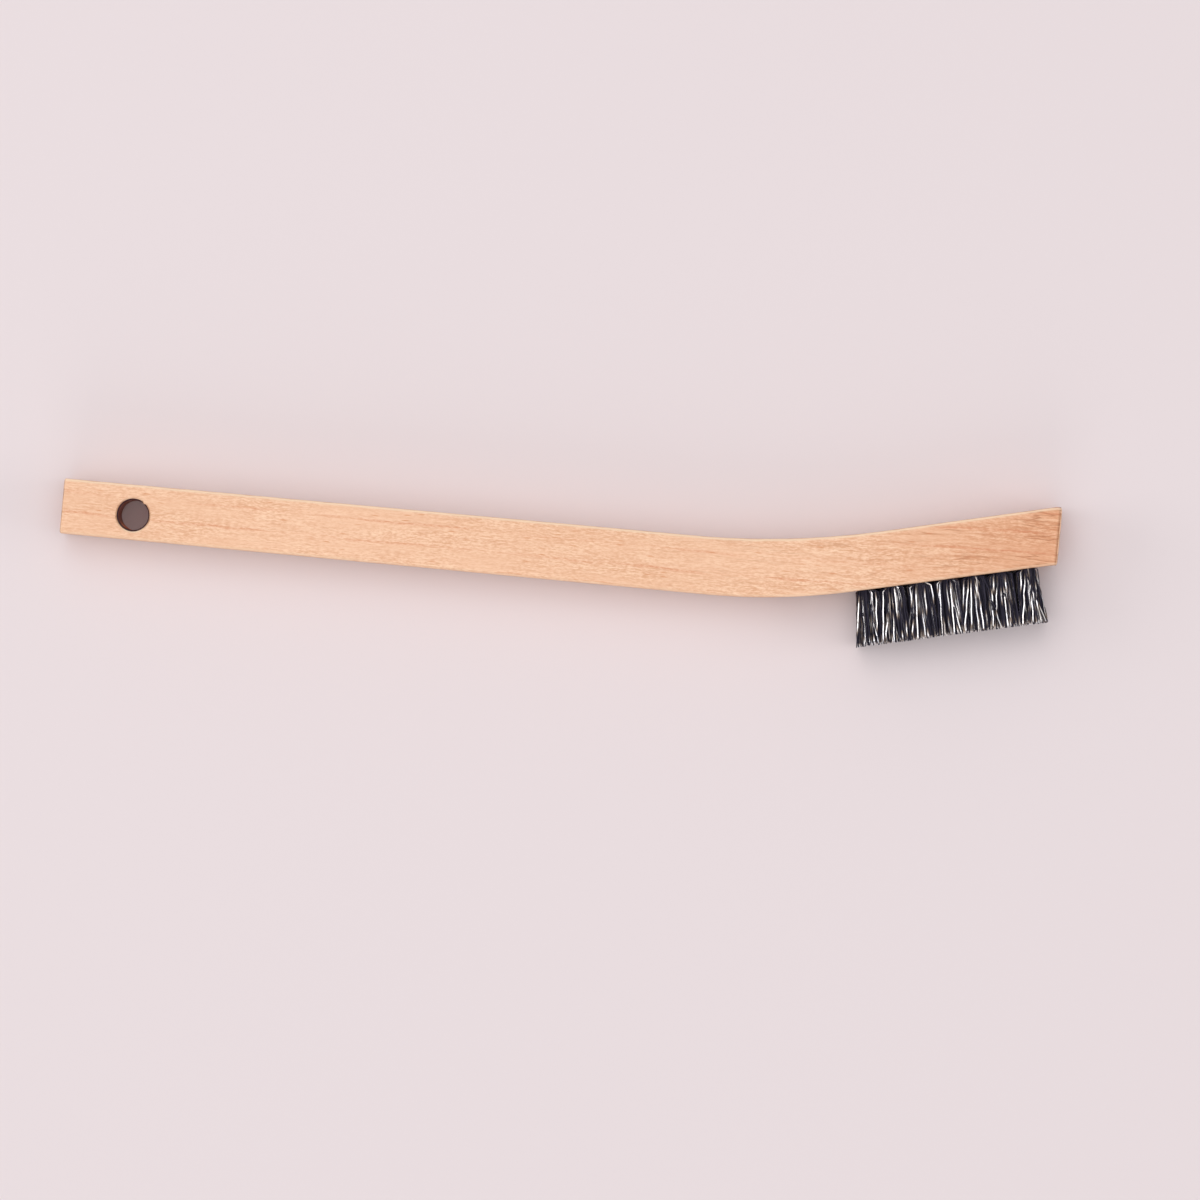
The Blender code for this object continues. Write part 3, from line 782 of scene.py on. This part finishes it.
def tip_cell(along, across):
    """The middle and the half size of the patch that a tuft's tips fill."""
    pitch_along = (FIELD_LENGTH + FLARE_TO_TAIL + FLARE_TO_END) / ROWS_ALONG
    pitch_across = (stick_width - 2 * SIDE_INSET) / ROWS_ACROSS
    middle = Vector((
        FIELD_START - FLARE_TO_TAIL + (along - 0.5) * pitch_along,
        SIDE_INSET + (across - 0.5) * pitch_across))
    return middle, Vector((pitch_along, pitch_across)) / 2


def tuft_legs(along, across, chance, spread, opening, shining_share):
    """Both legs of each wire of a tuft: root, heading at the wood, tip and its shine.

    The shine, a painted glint, is where it starts and ends, as shares of the trimmed length, and
    how bright.
    """
    mouth = tuft_mouth(along, across).xy
    middle, half = tip_cell(along, across)
    legs = {}
    for column in range(COLUMNS):
        for layer in range(LAYERS):
            for side in (-1, 1):
                share_across = (column + 0.5) / COLUMNS * 2 - 1
                share_along = side * (layer + 0.75) / (LAYERS + 0.25)
                spot = in_a_circle(share_along, share_across)
                stray = Vector((chance.uniform(-1, 1), chance.uniform(-1, 1))) * TIP_STRAY
                tip_spot = Vector((share_along, share_across)).lerp(spot, TIP_ROUNDING) + stray
                root = mouth + spot * BUNCH_RADIUS
                tip = middle + Vector((
                    held_between(-1, tip_spot.x, 1) * spread * half.x,
                    held_between(-1, tip_spot.y, 1) * half.y))
                tip.x = held_between(
                    FIELD_START - FLARE_TO_TAIL, tip.x, FIELD_START + FIELD_LENGTH + FLARE_TO_END)
                shine = (0, 0, 0)
                if chance.random() < shining_share:
                    start = max(0, chance.uniform(-0.5, 0.7))
                    shine = (start, start + chance.uniform(0.2, 0.7), chance.uniform(0.4, 1))
                open_share = opening[side][layer] * chance.uniform(0.8, 1.1)
                legs[column, layer, side] = [root, root.lerp(tip, open_share), tip, shine]
    return legs


def lay_shining_legs(legs, along, across, chance):
    """Give the wires of a front tuft that carry the listed painted glints their own tips."""
    mouth = tuft_mouth(along, across).xy
    for (column, _, _), leg in legs.items():
        leaves = leg[0].x - FIELD_START
        apart = min(abs(leaves - root_mm / MM_TO_A_METRE) for root_mm, *_ in SHINING)
        if column >= COLUMNS - NEAR_COLUMNS and (
                apart > BESIDE_A_LISTED_WIRE or chance.random() < CLEARED_SHARE):
            leg[3] = (0, 0, 0)
    front = [key for key in legs if key[0] >= COLUMNS - FRONT_COLUMNS]
    rows = range(1, ROWS_ALONG + 1)
    trim_mm = TRIM_LENGTH * MM_TO_A_METRE
    for root_mm, tip_mm, start_mm, end_mm in SHINING:
        leaves = FIELD_START + root_mm / MM_TO_A_METRE
        nearest = min(rows, key=lambda row: abs(tuft_mouth(row, across).x - leaves))
        if nearest != along or not front:
            continue
        key = min(
            front, key=lambda leg: abs(legs[leg][0].x - leaves) - FRONT_PREFERENCE * leg[0])
        front.remove(key)
        root, heading, tip, _ = legs[key]
        reach = math.sqrt(max(0, BUNCH_RADIUS ** 2 - (root.y - mouth.y) ** 2))
        root.x = mouth.x + held_between(-reach, leaves - mouth.x, reach)
        heading.x = root.x + held_between(-MOUTH_REACH, leaves - root.x, MOUTH_REACH)
        tip.x = FIELD_START + tip_mm / MM_TO_A_METRE
        legs[key][3] = (start_mm / trim_mm, end_mm / trim_mm, chance.uniform(0.85, 1))


def wire_path(legs, column, layer, mouth, lengths, chance):
    """One wire from tip to tip, and how much painted glint it carries at each of its points."""
    sides = []
    for side, length in zip((-1, 1), lengths):
        root, heading, tip, (start, end, amount) = legs[column, layer, side]
        points = leg_path(root, heading, tip, length, chance)
        shine = [amount if start <= point.z / TRIM_LENGTH <= end else 0 for point in points]
        # A painted glint at the cut tip of some wires.
        if chance.random() < TIP_SHINE:
            shine[-1] = chance.uniform(0.6, 1)
            shine[-2] = max(shine[-2], shine[-1] * chance.choice((0, 0.4, 0.9)))
        fold = Vector((
            mouth.x + side * (CROWN_CLEARANCE + FOLD_OPENING * layer),
            mouth.y + (column - (COLUMNS - 1) / 2) * FOLD_COLUMN,
            -FOLD_DEPTH + layer * FOLD_LAYER))
        sides.append(([fold] + points, [0] + shine))
    (first, first_shine), (second, second_shine) = sides
    return first[::-1] + second, first_shine[::-1] + second_shine


tempered_wire = wire_finish()
straight_wire, wire_parts = wire_blank()
for along in range(1, ROWS_ALONG + 1):
    for across in range(1, ROWS_ACROSS + 1):
        chance = random.Random(1000 * along + across)
        mouth = tuft_mouth(along, across)
        front_row = across == ROWS_ACROSS
        opening = {side: EASED_BUNCH if front_row else OPEN_BUNCH for side in (-1, 1)}
        if along in (1, ROWS_ALONG):
            opening[-1 if along == 1 else 1] = STIFF_BUNCH
        outer = across in (1, ROWS_ACROSS) or along in (1, ROWS_ALONG)
        legs = tuft_legs(
            along, across, chance, 1 if front_row else REAR_SPREAD, opening,
            OUTER_SHINE if outer else INNER_SHINE)
        if front_row:
            lay_shining_legs(legs, along, across, chance)
        bunch = bmesh.new()
        glint_layer = bunch.verts.layers.float.new("painted_light")
        for column in range(COLUMNS):
            for layer in range(LAYERS):
                lengths = [
                    TRIM_LENGTH - TRIM_UNEVENNESS * chance.random() ** 2 for _ in range(2)]
                path, shine = wire_path(legs, column, layer, mouth, lengths, chance)
                add_wire(bunch, straight_wire, wire_parts, path, shine, glint_layer)
        bunch.transform(head_face)
        bmesh.ops.recalc_face_normals(bunch, faces=bunch.faces)
        tuft = new_piece(f"wires_{along}_{across}", bunch, tempered_wire)
        tuft.data.shade_smooth()
        tuft.data.set_sharp_from_angle(angle=WIRE_CREASE)
        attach(tuft, "root")
        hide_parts(f"tuft_{along}_{across}")
bpy.data.meshes.remove(straight_wire)


# Staples ---------------------------------------------------------------------------
# A short U of bright drawn wire through the fold of each tuft, driven into the wood at
# the bottom of its hole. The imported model's own staples stay, with a drawn steel finish.
DULL_STAPLE = (0.50, 0.49, 0.47)
BRIGHT_STAPLE = (0.68, 0.67, 0.65)


def staple_finish():
    """Bright drawn wire, with fine scratches."""
    material, tree, surface = new_finish("staple wire")
    place = shader(tree, "TexCoord").outputs["Object"]
    scratches = mottle(tree, place, (9000, 9000, 9000), 2)
    set_inputs(tree, surface, {
        "Base Color": ramp(tree, scratches, [(0.35, DULL_STAPLE), (0.65, BRIGHT_STAPLE)]),
        "Roughness": fade(tree, scratches, 0, 1, 0.25, 0.4), "Metallic": 1})
    return material


staple_wire = staple_finish()
for name, node in frame["nodes"].items():
    if name.startswith("staple"):
        for slot in node.material_slots:
            slot.material = staple_wire


# Floor, lamps and camera -----------------------------------------------------------
# The brush lies on its side on a plain pale sheet, lit softly from above its back. The
# camera looks straight down on it from well above the middle of the picture.
SHEET_COLOUR = (0.76, 0.672, 0.682, 1)
SHEET_SIZE = 6.0
SHEET_GAP = 0.00005              # keeps the sheet clear of the brush's underside
STUDIO_COLOUR = (0.97, 0.98, 1, 1)
STUDIO_LIGHT = 0.46
PICTURE_CENTRE = (0.00914, -0.01122)
PICTURE_WIDTH = 0.23704          # at the brush's upper side
PICTURE_TURN = math.radians(5.415)
CAMERA_HEIGHT = 1.4
SENSOR_WIDTH = 36

# Each lamp's place, its size in metres and its power in watts.
LAMPS = {
    "overhead softbox": ((-0.1, 0.1, 1.6), 1.4, 11.2),
    "key": ((-0.35, 0.65, 1.2), 0.8, 1.9),
    "left strip": ((-1.15, 0, 0.55), 0.7, 3.3),
    "right strip": ((1.25, 0, 0.55), 0.7, 3.3),
    "front fill": ((0, -1.25, 0.6), 0.7, 2.6)}


def floor_finish():
    """A plain pale sheet."""
    material, tree, surface = new_finish("pale sheet")
    set_inputs(tree, surface, {
        "Base Color": SHEET_COLOUR, "Roughness": 0.9, "Specular IOR Level": 0.1})
    return material


def add_lamp(name, place, size, power):
    """A square softbox that faces the brush."""
    data = bpy.data.lights.new(name, 'AREA')
    data.shape = 'SQUARE'
    data.size = size
    data.energy = power
    lamp = bpy.data.objects.new(name, data)
    bpy.context.scene.collection.objects.link(lamp)
    lamp.location = place
    lamp.rotation_euler = (Vector() - Vector(place)).to_track_quat('-Z', 'Y').to_euler()


sheet = bmesh.new()
bmesh.ops.create_grid(
    sheet, x_segments=1, y_segments=1, size=SHEET_SIZE / 2,
    matrix=Matrix.Translation((0, 0, -SHEET_GAP)))
floor = new_piece("floor", sheet, floor_finish())

for name, (place, size, power) in LAMPS.items():
    add_lamp(name, place, size, power)

world = bpy.data.worlds.new("studio")
world.use_nodes = True
background = world.node_tree.nodes["Background"]
background.inputs["Color"].default_value = STUDIO_COLOUR
background.inputs["Strength"].default_value = STUDIO_LIGHT
bpy.context.scene.world = world

camera_data = bpy.data.cameras.new("camera")
camera_data.sensor_width = SENSOR_WIDTH
camera_data.lens = SENSOR_WIDTH * CAMERA_HEIGHT / PICTURE_WIDTH
camera = bpy.data.objects.new("camera", camera_data)
bpy.context.scene.collection.objects.link(camera)
camera.location = (*PICTURE_CENTRE, stick_high.z + CAMERA_HEIGHT)
camera.rotation_euler = (0, 0, PICTURE_TURN)
bpy.context.scene.camera = camera

bpy.context.scene.view_settings.view_transform = 'Standard'
